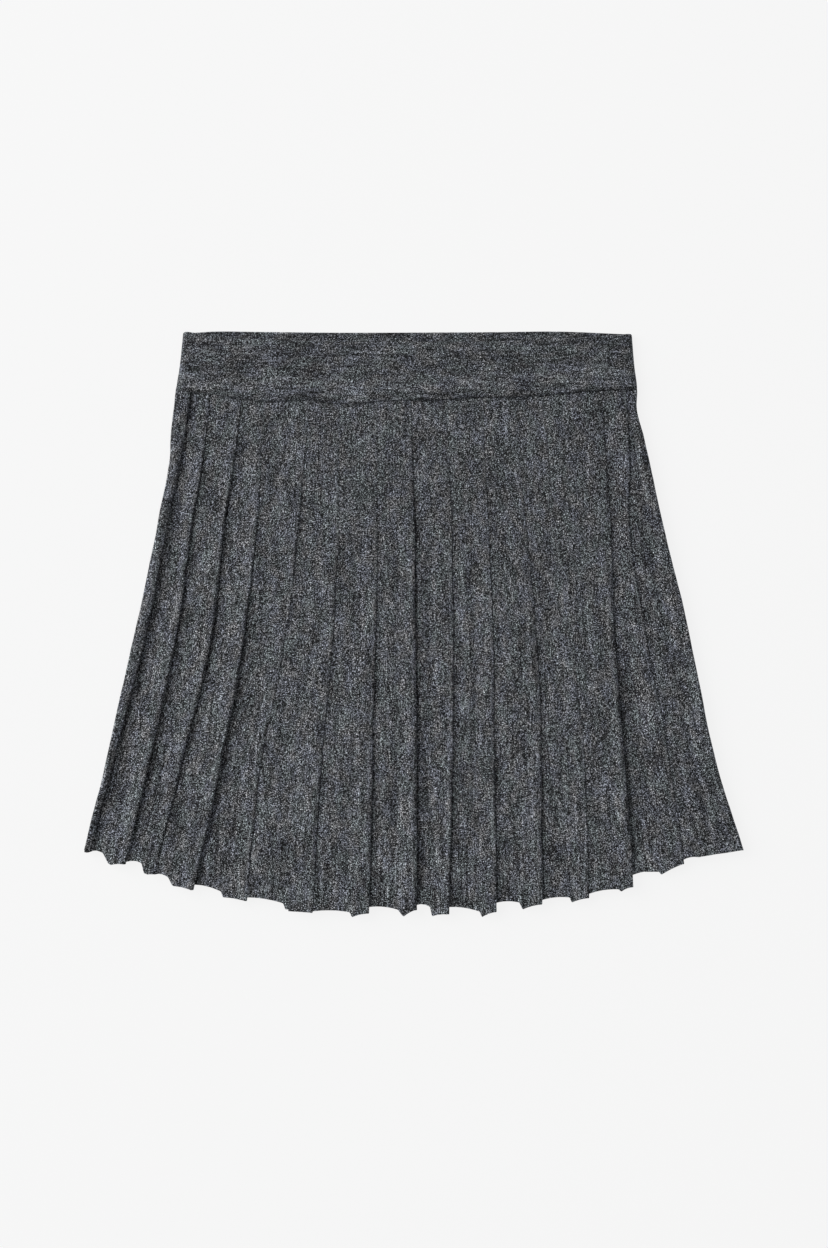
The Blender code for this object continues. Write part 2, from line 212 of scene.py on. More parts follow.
# Height Y of the waist seam across the skirt, as (x, y): it wanders in soft dips
WAIST_SEAM = (
    (-172.0, 167.5),
    (-158.5, 166.6),
    (-134.0, 163.6),
    (-112.0, 160.6),
    (-80.0, 161.4),
    (-58.0, 158.9),
    (-42.0, 158.7),
    (-26.0, 160.6),
    (-13.0, 161.3),
    (5.5, 161.0),
    (28.0, 162.2),
    (53.0, 163.6),
    (85.0, 163.9),
    (107.0, 165.9),
    (132.0, 167.8),
    (161.0, 169.4),
)

# The back's pleats lie evenly, with a slight sway, and their hem hides behind the front's
BACK_PLEATS = 15
BACK_FIRST_SHARE = 0.42  # width of the first pleat, in pleats
BACK_SWAY = 0.09  # in pleats
BACK_SWAY_PACE = 2.3
BACK_STEP_SHARE = 0.45  # of the way from edge to edge, where a ramp starts at the hem
BACK_RAMP = 3.0  # width of a ramp at the hem
BACK_TAB = 2.5  # how far the hem steps down on a ramp
BACK_EDGE_INSET = 0.8  # how far the side edges lie inside the front's
BACK_HEM = (
    (-237.5, -159.0),
    (-200.0, -168.5),
    (-150.0, -183.5),
    (-75.0, -196.0),
    (0.0, -199.5),
    (75.0, -196.0),
    (140.0, -182.0),
    (160.0, -172.5),
    (200.0, -163.5),
    (237.5, -159.0),
)

Crease = namedtuple("Crease", "start_x start_y end_x end_y width rise")
CREASE_START, CREASE_END = (-0.15, 0.2), (0.8, 1.15)  # shares of its length where one rises, and fades

# Creases that the front's folds don't make: the two ends of each, its width, and its rise, which is
# negative for a trough
FRONT_CREASES = (
    # Under the right of the seam the cloth is dragged into a curved crease. Fine ones lie left of it
    Crease(107.0, 163.0, 121.0, 139.5, 2.4, -0.8),
    Crease(121.0, 139.5, 139.0, 119.0, 2.6, -0.9),
    Crease(112.0, 158.0, 126.0, 138.0, 4.5, 0.9),
    Crease(139.0, 119.0, 142.0, 76.0, 3.0, -0.6),
    Crease(64.0, 149.0, 54.5, 127.0, 2.0, -0.6),
    Crease(-151.0, 150.0, -156.0, 96.0, 2.0, -0.4),
    Crease(-97.0, 154.0, -103.0, 70.0, 2.2, -0.4),
    Crease(-60.0, 88.0, -40.0, 96.0, 6.0, 0.5),
    Crease(-66.0, 30.0, -74.0, -60.0, 3.0, -0.4),
    Crease(-92.0, -60.0, -99.0, -150.0, 3.2, -0.35),
    Crease(-205.0, -110.0, -214.0, -163.0, 2.4, -0.4),
    # Soft hollows and ridges within the faces, from left to right
    Crease(-168.5, 100.0, -187.0, 0.0, 3.2, -0.8),
    Crease(-187.0, 0.0, -211.0, -95.0, 3.5, -0.8),
    Crease(-139.0, 20.0, -158.0, -80.0, 4.5, -1.0),
    Crease(-160.0, -80.0, -172.0, -150.0, 5.0, -1.3),
    Crease(-148.0, -70.0, -161.0, -160.0, 3.5, 1.0),
    Crease(-35.0, -10.0, -40.5, -165.0, 4.0, 0.9),
    Crease(-16.5, 60.0, -20.0, -170.0, 2.6, 0.9),
    Crease(-11.0, 50.0, -12.5, -160.0, 2.6, -0.9),
    Crease(-4.5, 60.0, -4.5, -170.0, 3.0, 0.5),
    Crease(21.0, 50.0, 18.0, -150.0, 3.0, 0.9),
    Crease(12.0, 70.0, 12.5, -130.0, 2.8, -0.5),
    Crease(33.0, 50.0, 40.0, -30.0, 2.6, 0.8),
    Crease(40.0, -30.0, 38.5, -160.0, 2.6, 0.9),
    Crease(42.5, 100.0, 45.0, -30.0, 2.8, -0.8),
    Crease(45.0, -30.0, 42.5, -160.0, 2.4, -0.8),
    Crease(52.5, 30.0, 51.5, -160.0, 3.0, 0.6),
    Crease(65.0, 120.0, 66.5, 60.0, 2.8, -0.6),
    Crease(70.0, 60.0, 72.0, -60.0, 2.6, 0.5),
    Crease(92.0, 50.0, 103.0, -30.0, 3.4, -1.0),
    Crease(103.0, -30.0, 109.0, -150.0, 3.4, -1.0),
    Crease(110.0, 30.0, 121.0, -150.0, 3.5, 0.8),
    Crease(129.0, 20.0, 139.0, -155.0, 4.0, 1.1),
    Crease(160.0, 20.0, 181.0, -145.0, 3.6, 1.0),
    Crease(199.0, -20.0, 219.0, -120.0, 2.8, 0.5),
    Crease(161.0, 120.0, 176.0, 20.0, 3.0, -0.7),
    # Beside the right edge, just under the waistband
    Crease(157.6, 146.0, 162.9, 108.0, 1.5, -0.9),
    Crease(160.4, 146.0, 165.7, 110.0, 1.4, 1.8),
)

Lump = namedtuple("Lump", "rise pace_x pace_y seed")

# How the cloth strays: sideways on both panels, up and down on the front and on the back's hidden
# layers, in flutes under the seam, and in ripples and puckers on the waistband
SWAY = (Lump(0.7, 46.0, 34.0, 1.7), Lump(0.25, 12.0, 11.0, 6.1))
FRONT_LUMPS = (Lump(0.6, 17.0, 36.0, 3.1), Lump(0.5, 6.5, 14.0, 8.7))
FLUTES = (Lump(0.45, 5.0, 34.0, 5.5),)
BACK_LUMPS = (Lump(1.0, 9.0, 26.0, 4.4),)
BAND_RIPPLES = (Lump(0.4, 34.0, 7.0, 2.2), Lump(0.3, 11.0, 9.0, 9.4))
BAND_PUCKERS = (Lump(0.7, 14.0, 20.0, 7.7),)

FLUTES_END = (0.02, 0.16)  # shares of the length where the flutes start to fade and are gone
SEAM_HOLD = (-0.005, 0.02)  # where the seam holds the front down, and where it lets go
FRONT_LOFT, LEAST_LOFT = 0.6, -0.2  # how far the front stands off the back, and the least of it
BACK_LOFT, BACK_MEAN = 0.28, 0.5

# The waistband's height above the table across its length, as (share from seam to rim, height)
BAND_FRONT_HEIGHT = (
    (0.0, 8.2),
    (0.07, 9.0),
    (0.2, 9.2),
    (0.36, 8.5),
    (0.55, 7.7),
    (0.78, 7.0),
    (1.0, 6.5),
)
BAND_WALL = 2.3
BAND_LOFT = 0.1
BAND_EDGE_LEFT = 0.25  # half of what is left of the wall at its round ends
BAND_COLUMNS, BAND_SIDE_STEPS, BAND_ROWS = 132, 8, 44
BAND_PUCKER_SPAN = (0.1, 0.6)  # shares of the way to the rim where the puckers start to fade and end
BAND_HOLD = (-0.2, 0.15)  # where the seam holds the front of the band down, and where it lets go
BAND_BULGE_HIGHLIGHT_SPAN = ((0.02, 0.14), (0.28, 0.5))  # painted highlight: where the paler paint on the bulge above the seam rises, and falls
# How much paler the bulge above the seam is painted, a painted highlight
BAND_BULGE_HIGHLIGHT = 1.5

# Height Y of the waistband's rim, as (x, y): the front dips and shows the back's inner side
BAND_RIM_FRONT = (
    (-166.5, 210.0),
    (-140.0, 206.6),
    (-90.0, 204.3),
    (-25.0, 203.2),
    (18.0, 203.6),
    (62.0, 203.7),
    (90.0, 204.9),
    (134.0, 207.1),
    (157.0, 208.8),
)
BAND_RIM_BACK = (
    (-166.5, 210.3),
    (-152.0, 211.2),
    (-120.0, 211.0),
    (-60.0, 210.4),
    (0.0, 210.5),
    (60.0, 210.8),
    (110.0, 211.2),
    (157.0, 209.4),
)

# The knit: distance between two columns of stitches, and between two rows
WALE, COURSE = 1.45, 1.05
COURSE_SHARE = 0.3  # of the ribs' relief, broken up by the rows

SPECK_SIZE = (0.58, 0.64)  # of the smallest spots of one tone, across and along the wales
PALE_FEW = 1.7  # how few of them are pale

Fibre = namedtuple("Fibre", "across along detail seed")

# Layers of darker and paler fibre: size of their lumps across and along the wales
GRAINS = Fibre(0.6, 0.7, 0.0, 0.3)
DASHES = Fibre(0.6, 2.6, 0.0, 4.1)
STREAKS = Fibre(1.4, 17.0, 1.0, 7.9)
BANDS = Fibre(3.6, 26.0, 2.0, 11.3)
CLOUDS = Fibre(12.0, 15.0, 1.0, 15.7)
BLUE_PATCHES = Fibre(9.0, 14.0, 1.0, 21.1)
MOSS_PATCHES = Fibre(7.0, 16.0, 1.0, 27.4)
FIBRE_ROUGHNESS = 0.6
PATCH_CONTRAST = 4.0
BLUE_MEAN, MOSS_MEAN = 0.5, 0.2

Tone = namedtuple("Tone", "specks grains dashes streaks bands clouds ribs worn")
Relief = namedtuple("Relief", "hollows dashes streaks ribs")

# How far each layer goes from the mean tone, which is 1, and from the mean surface
# worn: how much paler rubbed edges and the painted highlights on crests and on the band's bulge make the
# knit
TONE = Tone(0.36, 7.5, 1.0, 1.7, 2.3, 0.7, 0.08, 0.12)
RELIEF = Relief(-0.5, 0.8, 0.5, 0.35)
LEAST_TONE, TONE_CURVE = 0.1, 2.2
STREAKS_AT_WAIST = 0.5  # of their strength at the hem
WAIST_SHADE, WAIST_SHADE_CURVE = 0.06, 3.0  # painted shade: how much darker the knit is painted under the seam
MEAN_ROUGHNESS, DASH_ROUGHNESS = 0.9, 0.12
SHEEN_TINT = (0.75, 0.8, 0.9, 1.0)
BUMP_STRENGTH, BUMP_DEPTH = 0.55, 0.45

# The picture: how much the camera takes in from straight above, and what stands round the skirt
VIEW_HEIGHT = 898.6  # at the top of the cloth
CAMERA_LENS, CAMERA_SENSOR = 85.0, 36.0
CLOTH_TOP_Z = 8.0
TABLE_REACH, TABLE_RISE = 20.0, 3.0  # in metres: how far it goes, and how high its far rim stands
TABLE_CORNERS = 64
TABLE_GAP = 0.2
KEY_PLACE, KEY_SIZE = (-3.0, 1.3, 2.3), 3.8  # in metres
SKY_COLOUR = (0.97, 0.985, 1.0, 1.0)
WHITE = (1.0, 1.0, 1.0, 1.0)


def smooth(knots, places):
    """Values at places on the soft curve through knots, which are (place, value) in rising places."""
    at, value = np.array(knots, float).T
    slopes = np.diff(value) / np.diff(at)
    tangents = np.concatenate((slopes[:1], (slopes[:-1] + slopes[1:]) / 2, slopes[-1:]))
    places = np.asarray(places, float)
    i = np.clip(np.searchsorted(at, places, side="right") - 1, 0, len(slopes) - 1)
    width = at[i + 1] - at[i]
    u = (places - at[i]) / width
    start = value[i] * (1 + 2 * u) + tangents[i] * width * u
    end = value[i + 1] * (3 - 2 * u) - tangents[i + 1] * width * (1 - u)
    inside = start * (1 - u) ** 2 + end * u**2
    before = value[0] + tangents[0] * (places - at[0])
    after = value[-1] + tangents[-1] * (places - at[-1])
    return np.where(places <= at[0], before, np.where(places >= at[-1], after, inside))


def ease(start, end, share):
    """Rises softly from 0 at start to 1 at end."""
    u = np.clip((share - start) / (end - start), 0.0, 1.0)
    return u * u * (3 - 2 * u)


def mixed(first, second, share):
    """What lies that share of the way from the first to the second."""
    return first + (second - first) * share


def shares(count):
    """Evenly spaced shares from 0 up to, but without, 1."""
    return np.arange(count) / count


def wander(x, y, pace_x, pace_y, seed):
    """Smooth noise from about -1 to 1 over the plane, in lumps about pace_x by pace_y in size."""
    flat_x, flat_y = np.ravel(x) / pace_x, np.ravel(y) / pace_y
    values = [noise.noise(Vector((a, b, seed))) for a, b in zip(flat_x, flat_y)]
    return np.reshape(values, np.shape(x))


def lumpy(lumps, x, y):
    """The rise of soft lumps at points of the plane."""
    return sum(lump.rise * wander(x, y, lump.pace_x, lump.pace_y, lump.seed) for lump in lumps)


def level_line(tip_y, levels):
    """What is given at the waist, hip and so on, as (y, value) from the hem up."""
    heights = (tip_y, LOWER_Y, MIDDLE_Y, UPPER_Y, HIP_Y, WAIST_Y)
    values = (levels.hem, levels.lower, levels.middle, levels.upper, levels.hip, levels.waist)
    return tuple(zip(heights, values))


def edge_line(side, hand):
    """The panel's left or right edge as (y, x), from the hem up, as its own side is looked at."""
    if side == FRONT:
        return [(edge.y, getattr(edge, hand)) for edge in OUTLINE]
    if hand == "left":
        return [(edge.y, BACK_EDGE_INSET - edge.right) for edge in OUTLINE]
    return [(edge.y, -edge.left - BACK_EDGE_INSET) for edge in OUTLINE]


def back_folds():
    """The back's pleats in the back's own view, spread evenly, and the end of its last face."""
    left, right = edge_line(BACK, "left"), edge_line(BACK, "right")
    levels = (WAIST_Y, HIP_Y, UPPER_Y, MIDDLE_Y, LOWER_Y)
    count = BACK_PLEATS + BACK_FIRST_SHARE
    folds = []
    for i in range(BACK_PLEATS + 1):
        sway = BACK_SWAY * math.sin(BACK_SWAY_PACE * i) if i < BACK_PLEATS else 0.0
        share = (i + BACK_FIRST_SHARE + sway) / count
        step_share = max(share - (1 - BACK_STEP_SHARE) / count, 0.0)
        xs = [float(mixed(smooth(left, y), smooth(right, y), share)) for y in levels]
        hem_x = mixed(left[0][1], right[0][1], share)
        step_x = mixed(left[0][1], right[0][1], step_share)
        tuck_y = float(smooth(BACK_HEM, -step_x))
        tip_y = float(smooth(BACK_HEM, -hem_x)) - BACK_TAB
        ramp = (step_x, step_x + BACK_RAMP)
        folds.append(Fold(*xs, hem_x, *ramp, tuck_y, tuck_y, tuck_y - BACK_TAB, tip_y))
    return folds


class PressedCloth:
    """How thick the cloth and its layers are: pressed thin in the waist seam, full at the hem. lift is
    how far an edge that stands out comes up from the layers under it."""

    def __init__(self, thickness, air, lift):
        self.thickness, self.air, self.full_lift = thickness, air, lift

    @staticmethod
    def fullness(share):
        return SEAM_FULLNESS + sum(gain * ease(start, end, share) for gain, start, end in FULLNESS_GAINS)

    def thick(self, share):
        return self.thickness * self.fullness(share)

    def ply(self, share):
        return (self.thickness + self.air) * self.fullness(share)

    def low(self, share):
        return self.thick(share) / 2

    def high(self, share):
        return self.low(share) + 2 * self.ply(share)

    def lift(self, stand):
        return self.full_lift * stand**2


class Face:
    """One face of a pleat, from the pressed edge before it to its own. start and end are these edges
    as (y, x), the stands are how far they stand out as (y, stand), and run_end is the place of the
    face's own edge on the unfolded cloth."""

    def __init__(self, cloth, fold, start, start_stand, end, end_stand, run_end):
        self.cloth, self.fold, self.run_end = cloth, fold, run_end
        self.start_line, self.end_line = start, end
        self.start_stand_line, self.end_stand_line = start_stand, end_stand
        self.fold_line = level_line(fold.tip_y, fold)
        self.start_hem = start[0][1]
        self.hem_part = (fold.step - self.start_hem) / (fold.hem - self.start_hem)

    def start(self, y):
        return smooth(self.start_line, y)

    def end(self, y):
        return smooth(self.end_line, y)

    def lift(self, y):
        return self.cloth.lift(smooth(self.end_stand_line, y))

    def mouth(self, y, share):
        """X where the face comes out from under the edge before it."""
        return self.start(y) - SHUT * self.cloth.ply(share) * (1 - smooth(self.start_stand_line, y))

    def foot(self, y, share):
        """X where the face starts to climb over the hidden fold."""
        start = self.start(y)
        part = mixed(STEP_SHARE_AT_WAIST, self.hem_part, share)
        return start + np.maximum(part * (smooth(self.fold_line, y) - start), LEAST_STEP)

    def head(self, y, share):
        """X where the climb ends: it is long and soft on the length, and short at the hem."""
        foot = self.foot(y, share)
        room = RAMP_SHARE * (self.end(y) - foot)
        ramp = mixed(room, self.fold.head - self.fold.step, ease(HEM_RAMP_START, 1.0, share))
        return foot + np.minimum(ramp, room)

    def edge_radius(self, y, share):
        """Radius of the pressed edge's turn, to the middle of the cloth."""
        return (self.cloth.ply(share) + self.lift(y) / 2) / 2

    def edge_centre(self, y, share):
        """X of the centre of the pressed edge's turn."""
        return self.end(y) - self.cloth.thick(share) / 2 - self.edge_radius(y, share)

    def fold_centre(self, y, share):
        """X of the centre of the hidden fold's turn."""
        edge, radius = self.edge_centre(y, share), self.cloth.ply(share) / 2
        wanted = self.head(y, share) + FOLD_PARTING + radius
        wanted = np.maximum(wanted, mixed(self.start(y), edge, FOLD_SHARE))
        return np.minimum(wanted, edge - radius)

    def way(self, x, y, share):
        """Share of the way across the face."""
        start = self.start(y)
        return np.clip((x - start) / (self.edge_centre(y, share) - start), 0.0, 1.0)

    def height(self, x, y, share):
        """Height of the middle of the cloth."""
        way = self.way(x, y, share)
        ply = self.cloth.ply(share)
        floor = FLUSH * ply * (1 - smooth(self.start_stand_line, y))
        roll = np.clip(1 - (1 - way) / ROLL_SHARE, 0.0, 1.0)
        narrow = 1 - ease(NARROW, WIDE, self.end(y) - self.start(y))
        climb = (2 * ply - floor) * mixed(way**WIDE_CURVE, ease(NARROW_START, 1.0, way), narrow)
        return self.cloth.low(share) + floor + climb + self.lift(y) * roll**2

    def return_height(self, x, y, share):
        """Height of the layer between the face and the cloth that runs back under it."""
        low = self.cloth.low(share)
        return low + (self.height(x, y, share) - low) / 2

    def run(self, x, y):
        """Place on the unfolded cloth, across the wales."""
        return self.run_end - (self.end(y) - x)

    def wear_and_highlight(self, x, y, share):
        """How much paler the face is painted towards its crest, a painted highlight, and more where that
        crest stands out.
        """
        stand = np.clip(smooth(self.end_stand_line, y), 0.0, 1.0)
        return CREST_HIGHLIGHT * ease(CREST_HIGHLIGHT_START, 1.0, self.way(x, y, share)) * stand

    def zones(self, spacing, bow):
        """The visible stretches: the hollow, the ramp and the top, as their two ends, the columns'
        shares of the way between them, and the hem's Y at each column."""
        fold = self.fold
        part = shares(max(2, round((fold.step - self.start_hem) / spacing)))
        hem_y = mixed(fold.valley_y, fold.foot_y, part) + 4 * bow * part * (1 - part)
        yield self.mouth, self.foot, part, hem_y
        part = shares(RAMP_COLUMNS)
        yield self.foot, self.head, part, mixed(fold.foot_y, fold.head_y, ease(0.0, 1.0, part))
        part = shares(max(3, round((fold.hem - fold.head) / spacing)))
        hem_y = mixed(fold.head_y, fold.tip_y, part) + 2 * bow * part * (1 - part)
        yield self.head, self.edge_centre, part, hem_y


class FirstFace(Face):
    """The face beside the left edge: a narrow roll that comes up round that edge."""

    def foot(self, y, share):
        return self.start(y) + self.cloth.thick(share) / 2 + EDGE_TURN

    def head(self, y, share):
        return self.foot(y, share)

    def height(self, x, y, share):
        way = self.way(x, y, share)
        gained = 1 - SIDE_RISE * np.clip(1 - way / SIDE_TOP, 0.0, 1.0) ** 2
        return self.cloth.high(share) + self.lift(y) * (gained - SIDE_FALL * way**4)

    def zones(self, spacing, bow):
        fold = self.fold
        part = shares(max(3, round((fold.hem - self.start_hem) / spacing)))
        hem_y = mixed(HEM_EDGE.y, fold.tip_y, part) + SIDE_NICK * (part > 0) * (part < 0.5)
        yield self.head, self.edge_centre, part, hem_y


class LastFace(Face):
    """The face that ends in the right edge, with an open crease where it has one."""

    def edge_centre(self, y, share):
        return self.end(y) - self.cloth.thick(share) / 2 - EDGE_TURN

    def height(self, x, y, share):
        plain = super().height(x, y, share)
        if self.fold.hem == self.end_line[0][1]:
            return plain
        away = (x - smooth(self.fold_line, y)) / OPEN_CREASE_WIDTH
        return plain - OPEN_CREASE_DEPTH * ease(*OPEN_CREASE_SPAN, share) * np.exp(-(away**2))

    def zones(self, spacing, bow):
        fold, right = self.fold, self.end_line[0][1]
        first, second, _ = super().zones(spacing, bow)
        yield first
        yield second
        part = shares(max(3, round((right - fold.head) / spacing)))
        knots_x, knots_y = (fold.head, fold.hem, right), (fold.head_y, fold.tip_y, HEM_EDGE.y)
        hem_y = np.interp(mixed(fold.head, right, part), knots_x, knots_y)
        yield self.head, self.edge_centre, part, hem_y


class PanelGrid:
    """The middle of a pleated panel's cloth, gathered column by column from left to right. z counts
    from the panel's inner face and grows towards the side that is looked at."""

    def __init__(self, side, cloth, weave):
        self.side, self.cloth, self.weave = side, cloth, weave
        length = WAIST_Y - HEM_EDGE.y
        seam, hem = np.array(SEAM_ROWS) / length, 1 - np.array(HEM_ROWS) / length
        between = np.linspace(seam[-1], hem[0], weave.rows)[1:-1]
        self.share = np.concatenate((seam, between, hem))[:, None]
        self.parts = []

    def add(self, place, height, hem_y, run=None, worn=0.0):
        """Adds columns. place and height give X and Z at heights Y and shares of the length; run gives
        the place on the unfolded cloth, where the cloth shows; worn is how much paler it is made, up to 1
        on a rubbed pressed edge, with painted highlights on faces' crests, as numbers or as a function of
        X, Y and share."""
        waist = np.full((1, len(hem_y)), WAIST_Y)
        top = smooth(WAIST_SEAM, self.side * place(waist, 0.0))
        y = mixed(top, hem_y, self.share)
        x = place(y, self.share)
        runs = np.nan if run is None else run(x, y)
        wear_and_highlight = worn(x, y, self.share) if callable(worn) else worn
        self.parts.append(np.stack((x, y, height(x, y, self.share) + 0 * y, runs + 0 * y, wear_and_highlight + 0 * y)))

    def add_face(self, face, bow):
        """The columns of a face that show."""
        for first, second, part, hem_y in face.zones(self.weave.spacing, bow):

            def place(y, share, first=first, second=second, part=part):
                return mixed(first(y, share), second(y, share), part)

            self.add(place, face.height, hem_y, face.run, face.wear_and_highlight)

    def add_turn(self, centre_x, centre_z, radius, angles, hem_y, run=None, worn=0.0):
        """Columns round a fold, whose centre and radius are functions. Angles are in degrees."""
        angles = np.radians(angles)
        self.add(
            lambda y, share: centre_x(y, share) + radius(y, share) * np.cos(angles),
            lambda x, y, share: centre_z(y, share) + radius(y, share) * np.sin(angles),
            np.full(len(angles), hem_y),
            run and (lambda x, y: run + radius(y, self.share) * (angles[0] - angles)),
            worn,
        )

    def add_tuck(self, face, valley_y):
        """The pressed edge and the hidden layers: the return, the inner fold and the way back."""
        cloth, tip_y = self.cloth, face.fold.tip_y
        angles = np.linspace(90, -90, self.weave.turn_steps)

        def edge_z(y, share):
            return face.height(face.edge_centre(y, share), y, share) - face.edge_radius(y, share)

        self.add_turn(
            face.edge_centre,
            edge_z,
            face.edge_radius,
            angles,
            tip_y,
            face.run_end,
            np.clip(np.cos(np.radians(angles)), 0.0, 1.0),
        )
        part = np.array(RETURN_PARTS)
        self.add(
            lambda y, share: mixed(face.edge_centre(y, share), face.fold_centre(y, share), part),
            face.return_height,
            mixed(tip_y, valley_y, part),
        )
        self.add_turn(
            face.fold_centre,
            lambda y, share: cloth.low(share) + cloth.ply(share) / 2,
            lambda y, share: cloth.ply(share) / 2,
            np.linspace(90, 270, self.weave.turn_steps // 2 + 2),
            valley_y,
        )
        part = np.array(RUN_BACK_PARTS)
        self.add(
            lambda y, share: mixed(face.fold_centre(y, share), face.end(y), part),
            lambda x, y, share: cloth.low(share),
            np.full(len(part), valley_y),
        )

    def add_side(self, face, hand):
        """The curl at the left (hand 1) or the right (hand -1) edge, up from the inner face or down
        to it."""
        cloth = self.cloth
        line = face.start if hand > 0 else face.end
        angles = np.radians(np.linspace(180, 90, self.weave.turn_steps))
        upright = np.zeros(len(SIDE_WALL))
        rise = np.concatenate((SIDE_WALL, np.ones(len(angles))))[::hand]
        across = np.concatenate((upright, 1 + np.cos(angles)))[::hand]
        up = np.concatenate((upright, np.sin(angles)))[::hand]
        turned = np.concatenate((upright + math.pi / 2, angles - math.pi / 2))[::hand]

        def top_x(y, share):
            return line(y) + hand * (cloth.thick(share) / 2 + EDGE_TURN)

        def wall_z(y, share):
            return face.height(top_x(y, share), y, share) - EDGE_TURN

        def run(x, y):
            drop = EDGE_TURN * turned + wall_z(y, self.share) * (1 - rise)
            return face.run(top_x(y, self.share), y) - hand * drop

        self.add(
            lambda y, share: line(y) + hand * (cloth.thick(share) / 2 + EDGE_TURN * across),
            lambda x, y, share: wall_z(y, share) * rise + EDGE_TURN * up,
            np.full(len(rise), HEM_EDGE.y),
            run,
        )

    def points(self):
        """X, Y, Z, the run across the cloth, and the wear with the painted highlights, each as rows of
        columns.
        """
        x, y, z, run, worn = np.concatenate(self.parts, axis=2)
        places = np.arange(x.shape[1])
        for row in run:
            hidden = np.isnan(row)
            row[hidden] = np.interp(places[hidden], places[~hidden], row[~hidden])
        return x, y, z, run, worn


def panel_points(side, folds, stands, cloth, weave, bow):
    """Lays out a pleated panel."""
    grid = PanelGrid(side, cloth, weave)
    left, right = edge_line(side, "left"), edge_line(side, "right")
    start, start_stand = left, None
    run_end = folds[0].hem - left[0][1]
    for i, fold in enumerate(folds[:-1]):
        end, stand = level_line(fold.tip_y, fold), level_line(fold.tip_y, stands[i])
        kind = Face if i else FirstFace
        face = kind(cloth, fold, start, start_stand, end, stand, run_end)
        if i == 0:
            grid.add_side(face, 1)
        grid.add_face(face, bow)
        grid.add_tuck(face, folds[i + 1].valley_y)
        hidden = fold.hem - float(face.fold_centre(fold.tip_y, 1.0))
        following = folds[i + 1].hem if i + 2 < len(folds) else right[0][1]
        run_end += 2 * hidden + following - fold.hem
        start, start_stand = end, stand
    flat = level_line(HEM_EDGE.y, Stand(0.0, 0.0, 0.0, 0.0, 0.0, 0.0))
    face = LastFace(cloth, folds[-1], start, start_stand, right, flat, run_end)
    grid.add_face(face, bow)
    grid.add_side(face, -1)
    return grid.points(), grid.share


def crease_relief(creases, x, y):
    """Rise or fall of the cloth along creases."""
    relief = np.zeros_like(x)
    for crease in creases:
        run = np.array([crease.end_x - crease.start_x, crease.end_y - crease.start_y])
        length = np.hypot(*run)
        along_x, along_y = run / length
        along = ((x - crease.start_x) * along_x + (y - crease.start_y) * along_y) / length
        away = ((y - crease.start_y) * along_x - (x - crease.start_x) * along_y) / crease.width
        ends = ease(*CREASE_START, along) * (1 - ease(*CREASE_END, along))
        relief += crease.rise * ends * np.exp(-(away**2))
    return relief


def front_relief(x, y, share):
    """How far the whole front stands off the back: soft lumps, flutes under the seam, creases."""
    flutes = lumpy(FLUTES, x, y) * (1 - ease(*FLUTES_END, share))
    relief = FRONT_LOFT + lumpy(FRONT_LUMPS, x, y) + flutes + crease_relief(FRONT_CREASES, x, y)
    return np.maximum(relief, LEAST_LOFT) * ease(*SEAM_HOLD, share)


def wall_sides(x, z, half):
    """The two faces of the cloth beside its middle, each as (x, z)."""
    run = np.stack((np.diff(x, axis=1), np.diff(z, axis=1)))
    run /= np.maximum(np.hypot(*run), 1e-9)
    normal = np.stack((-run[1], run[0]))
    before = np.concatenate((normal[:, :, :1], normal), axis=2)
    after = np.concatenate((normal, normal[:, :, -1:]), axis=2)
    corner = (before + after) / np.maximum(1 + (before * after).sum(axis=0), MITRE_LIMIT)
    return [(x + hand * half * corner[0], z + hand * half * corner[1]) for hand in (1, -1)]


def rounded(distance, radius):
    """How far a wall's face draws in near a round end, at a distance from that end."""
    inside = np.clip(1 - distance / radius, 0.0, 1.0)
    return radius * (1 - np.sqrt(np.maximum(1 - inside**2, 0.0)))


def wall_quads(rows, columns, ring):
    """Corners of a wall's faces as (side, row, column); side 0 is the outer face."""
    spans = columns if ring else columns - 1
    row, column = (places.ravel() for places in np.mgrid[0 : rows - 1, 0:spans])

    def quads(*corners):
        made = [np.stack(np.broadcast_arrays(side, r, c), axis=-1) for side, r, c in corners]
        return np.stack(made, axis=1)

    made = [
        quads((0, row, column), (0, row + 1, column), (0, row + 1, column + 1), (0, row, column + 1)),
        quads((1, row, column), (1, row, column + 1), (1, row + 1, column + 1), (1, row + 1, column)),
    ]
    across, last = np.arange(spans), rows - 1
    made.append(quads((0, 0, across), (0, 0, across + 1), (1, 0, across + 1), (1, 0, across)))
    made.append(quads((1, last, across), (1, last, across + 1), (0, last, across + 1), (0, last, across)))
    if not ring:
        down, end = np.arange(rows - 1), columns - 1
        made.append(quads((0, down, 0), (1, down, 0), (1, down + 1, 0), (0, down + 1, 0)))
        made.append(quads((1, down, end), (0, down, end), (0, down + 1, end), (1, down + 1, end)))
    return np.concatenate(made)


def make_wall(name, outer, inner, maps, ring):
    """A closed wall of cloth. outer and inner are its faces as rows of points (x, y, z); maps are its
    coordinate maps by name, each as rows of (u, v), with one more column on a ring."""
    rows, columns = outer.shape[:2]
    corners = wall_quads(rows, columns, ring)
    side, row, column = corners[..., 0], corners[..., 1], corners[..., 2]
    index = (side * rows + row) * columns + column % columns
    points = np.concatenate((outer.reshape(-1, 3), inner.reshape(-1, 3))) * MM
    mesh = bpy.data.meshes.new(name)
    mesh.from_pydata(points.tolist(), [], index.tolist())
    for map_name, values in maps.items():
        layer = mesh.uv_layers.new(name=map_name)
        layer.data.foreach_set("uv", values[row, column].astype(np.float32).ravel())
    mesh.shade_smooth()
    mesh.validate()
    piece = bpy.data.objects.new(name, mesh)
    bpy.context.scene.collection.objects.link(piece)
    return piece


